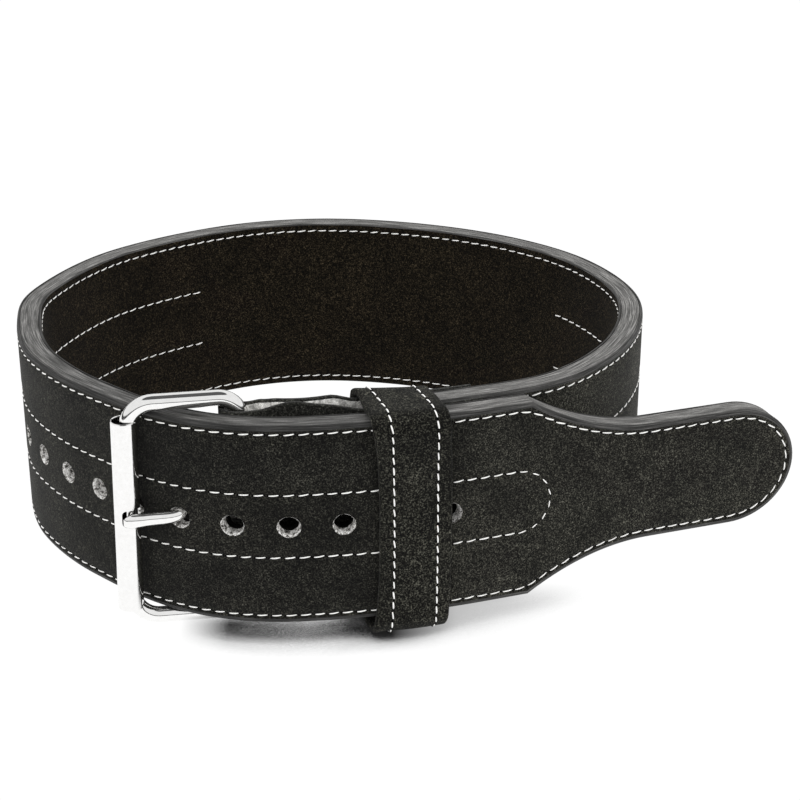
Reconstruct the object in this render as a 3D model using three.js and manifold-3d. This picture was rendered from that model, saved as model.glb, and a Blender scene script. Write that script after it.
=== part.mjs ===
// A wide leather weightlifting belt, buckled: the strap runs round the waist from its buckle end,
// passes under the roller, over the heel bar and through the keeper, and ends in a narrow tongue.
// Millimetres, +Z up, the buckle at the front towards -Y. The origin is under the middle of the
// belt, on the surface that it stands on.

import * as THREE from 'three';
import { mergeVertices } from 'three/addons/utils/BufferGeometryUtils.js';
import Module from 'manifold-3d';

// Strap: two thick leather layers between two suede skins
const strapWidth = 103;
const suedeThickness = 1.6;
const coreThickness = 4.45;
const fitGap = 0.3;
const edgeRounding = 1.3;

// Closed line of the strap's middle round the waist, across and front to back
const loopWidth = 322;
const loopDepth = 283.5;
const loopStations = [
  { across: 0.063, deep: -0.973 },
  { across: 0.445, deep: -0.862 },
  { across: 0.725, deep: -0.706 },
  { across: 0.93, deep: -0.37 },
  { across: 0.998, deep: 0.059 },
  { across: 0.872, deep: 0.465 },
  { across: 0.615, deep: 0.758 },
  { across: 0.265, deep: 0.943 },
  { across: -0.108, deep: 0.998 },
  { across: -0.46, deep: 0.88 },
  { across: -0.803, deep: 0.567 },
  { across: -0.981, deep: 0.153 },
  { across: -0.985, deep: -0.148 },
  { across: -0.889, deep: -0.504 },
  { across: -0.652, deep: -0.828 },
  { across: -0.343, deep: -0.989 },
];

// Where the outer run climbs over the buckle end, and where the tongue leaves the loop straight,
// as shares of the way round from the first station
const climb = { from: 0.862, to: 0.976, tongueLeaves: 1.067 };

// Buckle end of the strap, past the first station, and the tongue at its other end
const buckleEnd = 6;
const tongueWidth = 62;
const tongueLength = 144;
const shoulderLength = 64;
const tongueTip = 34;

// Punched holes
const holeDiameter = 10.8;
const holePitch = 25.4;
const holesBeforeBuckle = 6;
const holesAfterBuckle = 5;
const lastHoleToTip = 182;
const holeForward = 1.5;

// Buckle
const rodDiameter = 7.3;
const frameReach = 55.4;
const frameRoom = 1.35;
const frameCorner = 9;
const heelBack = 54;
const rollerDiameter = 12;
const rollerWall = 1;
const rollerInset = 2;
const rollerNotch = 14;
const rollerNotchIn = 4;
const rollerSag = 1.2;
const rollerStandOff = 2.7;
const prongDiameter = 4.8;
const prongTipWidth = 6;
const prongDrop = 1.8;
const prongEyeTurn = 4.3;
const prongUnder = 1;

// Chape: the suede strap folded round the heel bar
const chapeThickness = 3;
const chapeInset = 0.2;
const chapeFoldInset = 6.3;
const chapeFlap = 60;
const chapeStraight = 1;
const chapePinch = { back: 24, before: 5, behind: 6, side: 1.3, gap: 0.8 };
const chapeSlotRoom = 3;

// Keeper: the suede loop round all the layers
const keeperWidth = 31;
const keeperThickness = 3.2;
const keeperRoom = 5.8;
const keeperFromEnd = 24;
const keeperCorner = 9;
const keeperSag = 1.5;

const strapThickness = 2 * suedeThickness + 2 * coreThickness + 3 * fitGap;
const rise = strapThickness + chapeThickness + 2 * fitGap;
const middle = strapWidth / 2;
const frameHeight = strapWidth + 2 * frameRoom + rodDiameter;
const rollerLength = strapWidth - 2 * rollerInset;
const chapeWidth = strapWidth - 2 * chapeInset;
const keeperHeight = strapWidth + 2 * (keeperThickness + keeperRoom);
const upward = new THREE.Vector3(0, 0, 1);

const finishes = {
  suedeOutside: { color: 0x20211e, roughness: 0.95, metalness: 0 },
  suedeInside: { color: 0x14130f, roughness: 0.95, metalness: 0 },
  edgeLeather: { color: 0x3a3937, roughness: 0.8, metalness: 0 },
  chapeSuede: { color: 0x242421, roughness: 0.95, metalness: 0 },
  nickel: { color: 0xd9d9d6, roughness: 0.15, metalness: 1 },
};

const wasm = await Module();
wasm.setup();

// Closed line round the waist, run anticlockwise seen from above
const stationPoints = loopStations.map(
  ({ across, deep }) => new THREE.Vector3((across * loopWidth) / 2, (deep * loopDepth) / 2, 0),
);
const waistLine = new THREE.CatmullRomCurve3(stationPoints, true, 'catmullrom', 0.5);
waistLine.arcLengthDivisions = 1600;
const waistLength = waistLine.getLength();

// Out of the loop, square to a direction along it
function outwardOf(along) {
  return new THREE.Vector3(along.y, -along.x, 0).normalize();
}

// A point beside the waist line: how far along it from the first station, and how far outside it
function besideWaist(distance, outside) {
  const share = THREE.MathUtils.euclideanModulo(distance / waistLength, 1);
  const outward = outwardOf(waistLine.getTangentAt(share));
  return waistLine.getPointAt(share).addScaledVector(outward, outside);
}

// How far the strap has climbed outside the waist line
function riseAt(distance) {
  const share = distance / waistLength;
  return rise * THREE.MathUtils.smoothstep(share, climb.from, climb.to);
}

// The strap's own middle line, from the buckle end round the waist, over that end and straight on
class StrapLine extends THREE.Curve {
  constructor() {
    super();
    this.leaves = climb.tongueLeaves * waistLength;
    this.reach = this.leaves + tongueLength * 2;
    this.arcLengthDivisions = 1600;
  }

  getPoint(t, target = new THREE.Vector3()) {
    const distance = THREE.MathUtils.lerp(buckleEnd, this.reach, t);
    if (distance <= this.leaves) {
      return target.copy(besideWaist(distance, riseAt(distance)));
    }
    const last = besideWaist(this.leaves, rise);
    const along = last.clone().sub(besideWaist(this.leaves - 1, rise)).normalize();
    return target.copy(last).addScaledVector(along, distance - this.leaves);
  }
}
const strapLine = new StrapLine();
const strapLineLength = strapLine.getLength();

// A place on the strap: its middle point, the way along and the way out
function strapPlace(distance) {
  const share = distance / strapLineLength;
  const along = strapLine.getTangentAt(share);
  return { centre: strapLine.getPointAt(share), along, up: outwardOf(along), across: upward };
}

// A closed solid swept through places, the section's x along each place's across and its y along
// its up. A place's trim narrows the section evenly from both edges, stretch scales it.
function sweep(section, places, smooth = 6) {
  const steps = places.length - 1;
  const geometry = new THREE.ExtrudeGeometry(section, {
    depth: steps,
    steps,
    bevelEnabled: false,
    curveSegments: smooth,
  });
  const corners = geometry.attributes.position;
  for (let index = 0; index < corners.count; index += 1) {
    const place = places[Math.round(corners.getZ(index))];
    const { centre, across, up, trim = 0, stretch = { across: 1, up: 1 } } = place;
    const x = corners.getX(index);
    const moved = centre
      .clone()
      .addScaledVector(across, (x - Math.sign(x) * trim) * stretch.across)
      .addScaledVector(up, corners.getY(index) * stretch.up);
    corners.setXYZ(index, moved.x, moved.y, moved.z);
  }
  return bare(geometry);
}

// The same surface with only positions, its corners shared
function bare(geometry) {
  geometry.deleteAttribute('normal');
  geometry.deleteAttribute('uv');
  return mergeVertices(geometry, 1e-4);
}

function toSolid(geometry) {
  const { position } = geometry.attributes;
  return new wasm.Manifold(
    new wasm.Mesh({
      numProp: 3,
      vertProperties: new Float32Array(position.array),
      triVerts: new Uint32Array(geometry.index.array),
    }),
  );
}

function toGeometry(solid) {
  const { vertProperties, triVerts } = solid.getMesh();
  const geometry = new THREE.BufferGeometry();
  geometry.setAttribute('position', new THREE.BufferAttribute(vertProperties, 3));
  geometry.setIndex(new THREE.BufferAttribute(triVerts, 1));
  return geometry;
}

function cut(geometry, cutters) {
  const solid = cutters.reduce((left, cutter) => left.subtract(toSolid(cutter)), toSolid(geometry));
  return toGeometry(solid);
}

function piece(name, geometry, finish) {
  geometry.computeVertexNormals();
  const mesh = new THREE.Mesh(geometry, new THREE.MeshStandardMaterial(finish));
  mesh.name = name;
  return mesh;
}

// Even steps from one value to another, both ends included
function evenly(from, to, steps) {
  return Array.from({ length: steps + 1 }, (_, step) => THREE.MathUtils.lerp(from, to, step / steps));
}

function stepsOver(length, step) {
  return Math.max(2, Math.round(length / step));
}

// A point at this distance from another one, on a line of points given by a rising number
function reachAlong(pointAt, start, end, from, reach) {
  let near = start;
  let far = end;
  for (let turn = 0; turn < 40; turn += 1) {
    const half = (near + far) / 2;
    if (pointAt(half).distanceTo(from) < reach) near = half;
    else far = half;
  }
  return (near + far) / 2;
}

// Heel bar: against the inside of the strap, with the fold of the chape between them
const rodRadius = rodDiameter / 2;
const rollerRadius = rollerDiameter / 2;
const prongRadius = prongDiameter / 2;
const heelAt = waistLength + buckleEnd - heelBack;
const heelSide = riseAt(heelAt) - strapThickness / 2 - chapeThickness - rodRadius - 2 * fitGap;
const heel = besideWaist(heelAt, heelSide);

// Roller: just off the outside of the strap, as far from the heel bar as the frame is wide
const rollerSide = strapThickness / 2 + rollerRadius + fitGap + rollerStandOff;
function besideStrap(distance, outside) {
  const { centre, up } = strapPlace(distance);
  return centre.clone().addScaledVector(up, outside);
}
const nearHeel = strapDistanceNear(heel);
const rollerAt = reachAlong(
  (distance) => besideStrap(distance, rollerSide),
  nearHeel,
  nearHeel - 2 * frameReach,
  heel,
  frameReach,
);
const roller = besideStrap(rollerAt, rollerSide);
const toRoller = roller.clone().sub(heel).normalize();
const frontward = outwardOf(toRoller).negate();

// The frame's front bar lies in the roller, a little towards the heel bar
const frontBar = roller.clone().addScaledVector(toRoller, -fitGap);

// How far along the strap its outer run passes nearest to a point
function strapDistanceNear(point) {
  const outerRun = evenly(waistLength * climb.from - buckleEnd, strapLineLength * 0.98, 600);
  const gaps = outerRun.map((distance) => strapPlace(distance).centre.distanceTo(point));
  return outerRun[gaps.indexOf(Math.min(...gaps))];
}

// The prong's hole lies about half way between the two bars, and every other hole follows from it
const holeInUse = (rollerAt + nearHeel) / 2 - holeForward;
const strapLength = holeInUse + holesAfterBuckle * holePitch + lastHoleToTip;
const holeDistances = evenly(
  holeInUse - holesBeforeBuckle * holePitch,
  holeInUse + holesAfterBuckle * holePitch,
  holesBeforeBuckle + holesAfterBuckle,
);

// Half the strap's width: full, then narrowing over the shoulder, then the tongue and its round end
function halfWidthAt(distance) {
  const toTip = strapLength - distance;
  if (toTip >= tongueLength) return strapWidth / 2;
  if (toTip >= tongueTip) {
    const shoulder = Math.max(0, 1 - (tongueLength - toTip) / shoulderLength);
    return tongueWidth / 2 + ((strapWidth - tongueWidth) / 2) * shoulder ** 2;
  }
  return (tongueWidth / 2) * Math.sqrt(1 - (1 - toTip / tongueTip) ** 2);
}

// Distances along the strap where its section is set: close together where the outline curves
function strapDistances() {
  const corner = strapLength - tongueLength;
  const shoulderEnd = corner + shoulderLength;
  const roundStart = strapLength - tongueTip;
  const roundTurns = evenly(0, Math.PI * 0.47, 7);
  return [
    ...evenly(0, corner, stepsOver(corner, 10.5)),
    ...evenly(corner, shoulderEnd, 7).slice(1),
    ...evenly(shoulderEnd, roundStart, 2).slice(1),
    ...roundTurns.slice(1).map((turn) => roundStart + tongueTip * Math.sin(turn)),
  ];
}

function strapPlaces() {
  return strapDistances().map((distance) => ({
    ...strapPlace(distance),
    trim: strapWidth / 2 - halfWidthAt(distance),
  }));
}

// A cylinder across the strap's thickness, over its whole thickness and a little more
function holePunch(distance) {
  const { centre, up } = strapPlace(distance);
  const punch = new THREE.CylinderGeometry(holeDiameter / 2, holeDiameter / 2, strapThickness + 1, 14);
  punch.applyQuaternion(new THREE.Quaternion().setFromUnitVectors(new THREE.Vector3(0, 1, 0), up));
  punch.translate(centre.x, centre.y, middle);
  return bare(punch);
}

// One layer of the strap between two depths, its outside edges rounded where asked
function strapLayer(inside, thickness, roundInside, roundOutside) {
  const outside = inside + thickness;
  const half = strapWidth / 2;
  const section = new THREE.Shape();
  section.moveTo(-half + roundInside, inside);
  section.lineTo(half - roundInside, inside);
  section.lineTo(half, inside + roundInside);
  section.lineTo(half, outside - roundOutside);
  section.lineTo(half - roundOutside, outside);
  section.lineTo(-half + roundOutside, outside);
  section.lineTo(-half, outside - roundOutside);
  section.lineTo(-half, inside + roundInside);
  section.closePath();
  const raised = strapPlaces().map((place) => ({ ...place, centre: place.centre.clone().setZ(middle) }));
  const cutters = [...holeDistances.map(holePunch), prongShape(fitGap)];
  return cut(sweep(section, raised), cutters);
}

// The prong's line: an eye round the heel bar, then through the hole and down on to the roller
function prongPlaces(extra) {
  const { centre: hole, up: holeOut, along: holeAlong } = strapPlace(holeInUse);
  const eyeThick = chapeThickness - fitGap;
  const eyeRadius = rodRadius + fitGap + eyeThick / 2;
  const leaves = Math.atan2(-frontward.y, -frontward.x);
  const eye = evenly(leaves - prongEyeTurn, leaves, 14).map((turn) =>
    heel.clone().addScaledVector(new THREE.Vector3(Math.cos(turn), Math.sin(turn), 0), eyeRadius),
  );
  const mouth = strapThickness / 2;
  const tip = roller.clone().addScaledVector(frontward, rodRadius + 2 * fitGap + prongRadius);
  const shaft = [
    eye[eye.length - 1].clone().addScaledVector(toRoller, 2 * prongDiameter),
    hole.clone().addScaledVector(holeOut, -mouth - prongUnder).addScaledVector(holeAlong, prongRadius),
    hole.clone(),
    hole.clone().addScaledVector(holeOut, mouth).addScaledVector(holeAlong, -prongRadius / 2),
    tip.clone().addScaledVector(toRoller, -rollerRadius - prongRadius),
    tip,
  ];
  const points = [...eye, ...shaft];
  const line = new THREE.CatmullRomCurve3(points, false, 'centripetal');
  const eyeShare = (eye.length - 1) / (points.length - 1);
  const holeShare = (eye.length + 2) / (points.length - 1);
  const shares = [...evenly(0, eyeShare, eye.length - 1), ...evenly(eyeShare, 1, 20).slice(1)];
  return shares.map((share) => {
    const past = THREE.MathUtils.smoothstep(share, eyeShare, holeShare);
    const onward = THREE.MathUtils.clamp((share - holeShare) / (1 - holeShare), 0, 1);
    const thick = THREE.MathUtils.lerp(eyeThick / 2, prongRadius, past);
    const wide = THREE.MathUtils.lerp(prongRadius, prongTipWidth / 2, onward);
    return {
      centre: line.getPoint(share).setZ(middle - prongDrop * onward),
      up: outwardOf(line.getTangent(share)),
      across: upward,
      stretch: {
        across: (wide + extra) / (prongRadius + extra),
        up: (thick + extra) / (prongRadius + extra),
      },
    };
  });
}

function prongShape(extra) {
  const section = new THREE.Shape();
  section.absarc(0, 0, prongRadius + extra, 0, 2 * Math.PI);
  return sweep(section, prongPlaces(extra), 5);
}

// The frame's rod: a rounded rectangle from the middle of the heel bar round and back to it
function frameShape() {
  const reach = frontBar.distanceTo(heel);
  const half = frameHeight / 2;
  const at = (across, height) => heel.clone().setZ(middle + height).addScaledVector(toRoller, across);
  const corners = [
    { across: frameCorner, height: half - frameCorner, start: Math.PI },
    { across: reach - frameCorner, height: half - frameCorner, start: Math.PI / 2 },
    { across: reach - frameCorner, height: frameCorner - half, start: 0 },
    { across: frameCorner, height: frameCorner - half, start: -Math.PI / 2 },
  ];
  const bend = corners.flatMap(({ across, height, start }) =>
    evenly(start, start - Math.PI / 2, 6).map((turn) => ({
      centre: at(across + frameCorner * Math.cos(turn), height + frameCorner * Math.sin(turn)),
      across: frontward,
      up: toRoller.clone().multiplyScalar(Math.cos(turn)).addScaledVector(upward, Math.sin(turn)),
    })),
  );
  const heelEnd = (height) => ({ centre: at(0, height), across: frontward, up: toRoller.clone().negate() });
  const rod = new THREE.Shape();
  rod.absarc(0, 0, rodRadius, 0, 2 * Math.PI);
  return sweep(rod, [heelEnd(fitGap / 2), ...bend, heelEnd(-fitGap / 2)], 6);
}

// The roller: a tube on the front bar, notched at the front where the prong's tip rests
function rollerShape() {
  const wall = [
    [rollerRadius - rollerWall, 0],
    [rollerRadius, 0],
    [rollerRadius, rollerLength],
    [rollerRadius - rollerWall, rollerLength],
    [rollerRadius - rollerWall, 0],
  ].map(([radius, height]) => new THREE.Vector2(radius, height));
  const tube = new THREE.LatheGeometry(wall, 24);
  tube.rotateX(Math.PI / 2);
  tube.translate(roller.x, roller.y, middle - rollerLength / 2 - rollerSag);
  const notch = new THREE.BoxGeometry(rollerDiameter, rollerDiameter, rollerNotch);
  notch.rotateZ(Math.atan2(toRoller.y, toRoller.x));
  notch.translate(-toRoller.x * rollerNotchIn, -toRoller.y * rollerNotchIn, 0);
  notch.translate(roller.x + frontward.x * rollerRadius, roller.y + frontward.y * rollerRadius, middle);
  return cut(bare(tube), [bare(notch)]);
}

// The chape's line, in plan: inner flap, pinch, round the heel bar, pinch, outer flap
function chapeLine() {
  const flapSide = strapThickness / 2 + fitGap + chapeThickness / 2;
  const layer = chapeThickness / 2 + chapePinch.gap / 2;
  const start = waistLength + buckleEnd;
  const flap = evenly(start - chapeStraight, start + chapeFlap, 6);
  const outer = flap.map((distance) => besideWaist(distance, flapSide));
  const inner = flap.map((distance) => besideWaist(distance, -flapSide)).reverse();
  const pinch = (side) =>
    [chapePinch.back - chapePinch.behind, chapePinch.back + chapePinch.before].map((back) =>
      besideWaist(start - back, chapePinch.side + side * layer),
    );
  const foldRadius = rodRadius + fitGap + chapeThickness / 2;
  const facing = heel.clone().sub(besideWaist(start, 0));
  const fold = evenly(1.7, -1.7, 8).map((turn) =>
    heel.clone().addScaledVector(facing.clone().normalize().applyAxisAngle(upward, -turn), foldRadius),
  );
  const points = [...inner, ...pinch(-1), ...fold, ...pinch(1).reverse(), ...outer];
  return new THREE.CatmullRomCurve3(points, false, 'centripetal');
}

function chapeShape() {
  const line = chapeLine();
  line.arcLengthDivisions = 600;
  const length = line.getLength();
  const section = new THREE.Shape();
  const half = chapeWidth / 2;
  section.moveTo(-half, -chapeThickness / 2);
  section.lineTo(half, -chapeThickness / 2);
  section.lineTo(half, chapeThickness / 2);
  section.lineTo(-half, chapeThickness / 2);
  section.closePath();
  const places = evenly(0, 1, stepsOver(length, 3.6)).map((share) => {
    const along = line.getTangentAt(share);
    const centre = line.getPointAt(share);
    const nearBar = 1 - THREE.MathUtils.smoothstep(centre.distanceTo(heel), frameCorner, frameCorner * 2);
    return { centre: centre.setZ(middle), up: outwardOf(along), across: upward, trim: chapeFoldInset * nearBar };
  });
  const slotAlong = 4 * prongDiameter + 2 * chapeSlotRoom;
  const slotHigh = prongDiameter * 1.15 + chapeSlotRoom;
  const slot = new THREE.BoxGeometry(slotAlong, 4 * rodDiameter, slotHigh);
  slot.rotateZ(Math.atan2(toRoller.y, toRoller.x));
  slot.translate(heel.x, heel.y, middle);
  return cut(sweep(section, places), [bare(slot)]);
}

// The keeper: a rounded band round the outer run, both flaps and the buckle end
const keeperAt = waistLength + buckleEnd + keeperFromEnd;
const keeperInside = -(strapThickness / 2 + chapeThickness + 2 * fitGap);
function keeperShape() {
  const outside = rise + strapThickness / 2 + fitGap;
  const band = (grow) => {
    const height = keeperHeight / 2 - keeperThickness + grow;
    const near = outside + grow;
    const far = keeperInside - grow;
    const corner = keeperCorner - keeperThickness + grow;
    const outline = new THREE.Path();
    outline.moveTo(-height + corner, far);
    outline.lineTo(height - corner, far);
    outline.absarc(height - corner, far + corner, corner, -Math.PI / 2, 0);
    outline.lineTo(height, near - corner);
    outline.absarc(height - corner, near - corner, corner, 0, Math.PI / 2);
    outline.lineTo(-height + corner, near);
    outline.absarc(-height + corner, near - corner, corner, Math.PI / 2, Math.PI);
    outline.lineTo(-height, far + corner);
    outline.absarc(-height + corner, far + corner, corner, Math.PI, 1.5 * Math.PI);
    return outline;
  };
  const section = new THREE.Shape();
  section.curves = band(keeperThickness).curves;
  section.holes.push(band(0));
  const places = evenly(keeperAt - keeperWidth / 2, keeperAt + keeperWidth / 2, 4).map((distance) => {
    const share = THREE.MathUtils.euclideanModulo(distance / waistLength, 1);
    const up = outwardOf(waistLine.getTangentAt(share));
    return { centre: besideWaist(distance, 0).setZ(middle - keeperSag), up, across: upward };
  });
  return sweep(section, places, 4);
}

// The strap's layers, from the inside out
function strapPieces() {
  const layers = [
    { name: 'inner_suede', thickness: suedeThickness, finish: finishes.suedeInside },
    { name: 'core_inner', thickness: coreThickness, finish: finishes.edgeLeather },
    { name: 'core_outer', thickness: coreThickness, finish: finishes.edgeLeather },
    { name: 'outer_suede', thickness: suedeThickness, finish: finishes.suedeOutside },
  ];
  let inside = -strapThickness / 2;
  return layers.map(({ name, thickness, finish }, index) => {
    const roundInside = index === 0 ? edgeRounding : 0;
    const roundOutside = index === layers.length - 1 ? edgeRounding : 0;
    const layer = strapLayer(inside, thickness, roundInside, roundOutside);
    inside += thickness + fitGap;
    return piece(name, layer, finish);
  });
}

// The belt leans back a little: it stands on the keeper in front, and on the strap's own edge
// behind
function stand(pieces) {
  const belt = new THREE.Group();
  belt.add(...pieces);
  const keeperDrop = keeperHeight / 2 + keeperSag - middle;
  const keeperRest = besideWaist(keeperAt, keeperInside - keeperThickness + keeperCorner);
  const backEdge = loopDepth / 2 + strapThickness / 2;
  belt.rotation.x = -Math.atan2(keeperDrop, backEdge - keeperRest.y);
  const standing = new THREE.Group();
  standing.add(belt);
  standing.updateMatrixWorld(true);
  const box = new THREE.Box3().setFromObject(standing, true);
  const centre = box.getCenter(new THREE.Vector3());
  belt.position.set(-centre.x, -centre.y, -box.min.z);
  return standing;
}

const belt = stand([
  ...strapPieces(),
  piece('chape', chapeShape(), finishes.chapeSuede),
  piece('keeper', keeperShape(), finishes.chapeSuede),
  piece('buckle_frame', frameShape(), finishes.nickel),
  piece('roller', rollerShape(), finishes.nickel),
  piece('prong', prongShape(0), finishes.nickel),
]);

export default belt;
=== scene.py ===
import bpy
import bmesh
import math
import random
import numpy as np
from mathutils import Matrix, Vector, noise


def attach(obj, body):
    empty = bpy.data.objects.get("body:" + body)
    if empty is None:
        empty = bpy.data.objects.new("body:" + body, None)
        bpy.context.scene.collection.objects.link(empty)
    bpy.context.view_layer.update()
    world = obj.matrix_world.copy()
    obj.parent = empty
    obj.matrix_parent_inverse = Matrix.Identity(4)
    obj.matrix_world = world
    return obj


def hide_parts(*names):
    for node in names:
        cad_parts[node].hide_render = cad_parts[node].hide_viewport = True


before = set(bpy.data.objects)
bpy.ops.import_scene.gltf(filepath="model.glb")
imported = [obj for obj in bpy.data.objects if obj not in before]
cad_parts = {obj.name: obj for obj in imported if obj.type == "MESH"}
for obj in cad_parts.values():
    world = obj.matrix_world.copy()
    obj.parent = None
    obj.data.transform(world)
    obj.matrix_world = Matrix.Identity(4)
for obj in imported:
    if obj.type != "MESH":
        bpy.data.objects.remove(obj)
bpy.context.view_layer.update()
mm = 0.001

# how the belt's own frame stands: its strap is on edge from z = 0 with the loop round its origin
placing = {"lean": 0.0380167, "shift": (-32.9947, 5.9097, 5.7908)}  # radians, mm


def stand(points):  # the belt's own frame in mm to the scene in metres
    p = np.asarray(points, float)
    c, s = math.cos(placing["lean"]), math.sin(placing["lean"])
    x, y, z = p[..., 0], p[..., 1], p[..., 2]
    out = np.stack([x, y * c + z * s, z * c - y * s], -1) + np.array(placing["shift"])
    return out * mm


# the camera's place, in the belt's own frame: mm and degrees
camera = {
    "lens": 83.39,
    "sensor": 36,
    "clip": (0.05, 50),  # m
    "distance": 1002.07,
    "elevation": 23.3727,
    "roll": 0.0846,
    "aim": (37.225, -17.231, 53.0),
}


def makeCamera():
    e = math.radians(camera["elevation"])
    aim = np.array(camera["aim"])
    eye = aim + camera["distance"] * np.array([0, -math.cos(e), math.sin(e)])
    eyeAt, aimAt = Vector(stand(eye)), Vector(stand(aim))
    data = bpy.data.cameras.new("camera")
    data.lens = camera["lens"]
    data.sensor_width = camera["sensor"]
    data.clip_start, data.clip_end = camera["clip"]
    cam = bpy.data.objects.new("camera", data)
    bpy.context.scene.collection.objects.link(cam)
    turn = (aimAt - eyeAt).to_track_quat("-Z", "Y").to_matrix()
    roll = Matrix.Rotation(math.radians(-camera["roll"]), 3, "Z")
    cam.rotation_euler = (turn @ roll).to_euler()
    cam.location = eyeAt
    bpy.context.scene.camera = cam


studio = {
    "floorHalf": 6,  # m
    "floorGlow": 1.03,
    "shadowReach": 0.03,  # m, how far from the belt the floor darkens
    "shadowSamples": 8,
    "shadow": [(0.0, 0.01), (0.4, 0.02), (0.47, 0.07), (0.56, 0.45), (0.66, 0.86), (0.76, 1.0)],
    "perMetre": 2.5,  # the next two are shares of 0.4 m, about the middle of the floor
    "shadowAcross": [(0.24, 0.0), (0.3, 1.0), (0.5, 1.0), (0.58, 0.5), (0.7, 0.35), (0.8, 0.0)],
    "shadowDeep": [(0.21, 1.0), (0.25, 0.0), (0.86, 0.0), (0.9, 0.8)],
    "world": 0.85,
    "bands": [  # brightness from straight down to straight up: the dark ones show in the metal
        (0.0, 1.0), (0.5, 1.0), (0.504, 0.04), (0.56, 0.06),
        (0.585, 1.0), (0.94, 1.0), (0.957, 0.08), (1.0, 0.12),
    ],
    "lamps": [  # name, place, aim, size in m, watts
        ("topSoft", (-0.3, 0.4, 1.6), (0.0, 0.0, 0.05), 1.5, 16),
        ("frontLeft", (-1.2, -1.5, 1.0), (-0.05, -0.1, 0.05), 0.9, 8),
        ("frontRight", (1.4, -1.1, 0.9), (0.1, 0.0, 0.05), 0.8, 12),
    ],
}


def newMaterial(name):
    material = bpy.data.materials.new(name)
    material.use_nodes = True
    tree = material.node_tree
    return material, tree, tree.nodes["Principled BSDF"]


def makeFloor():
    bm = bmesh.new()
    bmesh.ops.create_grid(bm, x_segments=4, y_segments=4, size=studio["floorHalf"])
    mesh = bpy.data.meshes.new("floor")
    bm.to_mesh(mesh)
    bm.free()
    floor = bpy.data.objects.new("floor", mesh)
    bpy.context.scene.collection.objects.link(floor)
    material, tree, shader = newMaterial("whiteSweep")
    near = tree.nodes.new("ShaderNodeAmbientOcclusion")
    near.samples = studio["shadowSamples"]
    near.inputs["Distance"].default_value = studio["shadowReach"]
    glow = rampOf(tree, near.outputs["AO"], greys(studio["shadow"]))
    split = tree.nodes.new("ShaderNodeSeparateXYZ")
    tree.links.new(objectPlace(tree), split.inputs[0])
    reach = []
    for axis, stops in (("X", studio["shadowAcross"]), ("Y", studio["shadowDeep"])):
        share = tree.nodes.new("ShaderNodeMath")
        share.operation = "MULTIPLY_ADD"
        share.inputs[1].default_value, share.inputs[2].default_value = studio["perMetre"], 0.5
        tree.links.new(split.outputs[axis], share.inputs[0])
        reach.append(rampOf(tree, share.outputs[0], greys(stops)))
    both = tree.nodes.new("ShaderNodeMath")
    both.operation = "MULTIPLY"
    for index, level in enumerate(reach):
        tree.links.new(level, both.inputs[index])
    mixed = tree.nodes.new("ShaderNodeMix")
    mixed.data_type = "RGBA"
    mixed.inputs["A"].default_value = (1, 1, 1, 1)
    tree.links.new(both.outputs[0], mixed.inputs["Factor"])
    tree.links.new(glow, mixed.inputs["B"])
    tree.links.new(mixed.outputs["Result"], shader.inputs["Emission Color"])
    shader.inputs["Emission Strength"].default_value = studio["floorGlow"]
    shader.inputs["Base Color"].default_value = (0, 0, 0, 1)
    shader.inputs["Specular IOR Level"].default_value = 0.0
    mesh.materials.append(material)


def makeLight():
    world = bpy.data.worlds.new("studio")
    bpy.context.scene.world = world
    world.use_nodes = True
    tree = world.node_tree
    back = tree.nodes["Background"]
    back.inputs["Strength"].default_value = studio["world"]
    place = tree.nodes.new("ShaderNodeTexCoord")
    split = tree.nodes.new("ShaderNodeSeparateXYZ")
    ramp = tree.nodes.new("ShaderNodeValToRGB")
    tree.links.new(place.outputs["Generated"], split.inputs[0])
    half = tree.nodes.new("ShaderNodeMath")
    half.operation = "MULTIPLY_ADD"
    half.inputs[1].default_value = half.inputs[2].default_value = 0.5
    tree.links.new(split.outputs["Z"], half.inputs[0])
    tree.links.new(half.outputs[0], ramp.inputs["Fac"])
    tree.links.new(ramp.outputs["Color"], back.inputs["Color"])
    setRamp(ramp, greys(studio["bands"]))
    for name, place, aim, size, watts in studio["lamps"]:
        data = bpy.data.lights.new(name, "AREA")
        data.shape = "SQUARE"
        data.size = size
        data.energy = watts
        lamp = bpy.data.objects.new(name, data)
        lamp.visible_glossy = False
        bpy.context.scene.collection.objects.link(lamp)
        lamp.location = place
        lamp.rotation_euler = (Vector(aim) - Vector(place)).to_track_quat("-Z", "Y").to_euler()
    view = bpy.context.scene.view_settings
    view.view_transform = "Standard"
    view.look = "None"


def greys(stops):
    return [(where, (level,) * 3) for where, level in stops]


def setRamp(node, stops):
    elements = node.color_ramp.elements
    elements.remove(elements[1])
    elements[0].position, elements[0].color = stops[0][0], (*stops[0][1], 1)
    for where, colour in stops[1:]:
        elements.new(where).color = (*colour, 1)


def rampOf(tree, fac, stops):
    node = tree.nodes.new("ShaderNodeValToRGB")
    setRamp(node, stops)
    tree.links.new(fac, node.inputs["Fac"])
    return node.outputs["Color"]


def noiseOf(tree, vector, scale, detail=3.0, rough=0.6):
    node = tree.nodes.new("ShaderNodeTexNoise")
    node.inputs["Scale"].default_value = scale
    node.inputs["Detail"].default_value = detail
    node.inputs["Roughness"].default_value = rough
    tree.links.new(vector, node.inputs["Vector"])
    return node.outputs["Fac"]


def multiplied(tree, share, a, b):
    node = tree.nodes.new("ShaderNodeMix")
    node.data_type = "RGBA"
    node.blend_type = "MULTIPLY"
    node.inputs["Factor"].default_value = share
    tree.links.new(a, node.inputs["A"])
    tree.links.new(b, node.inputs["B"])
    return node.outputs["Result"]


def bumped(tree, shader, height, strength, distance):
    node = tree.nodes.new("ShaderNodeBump")
    node.inputs["Strength"].default_value = strength
    node.inputs["Distance"].default_value = distance
    tree.links.new(height, node.inputs["Height"])
    tree.links.new(node.outputs["Normal"], shader.inputs["Normal"])


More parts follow.
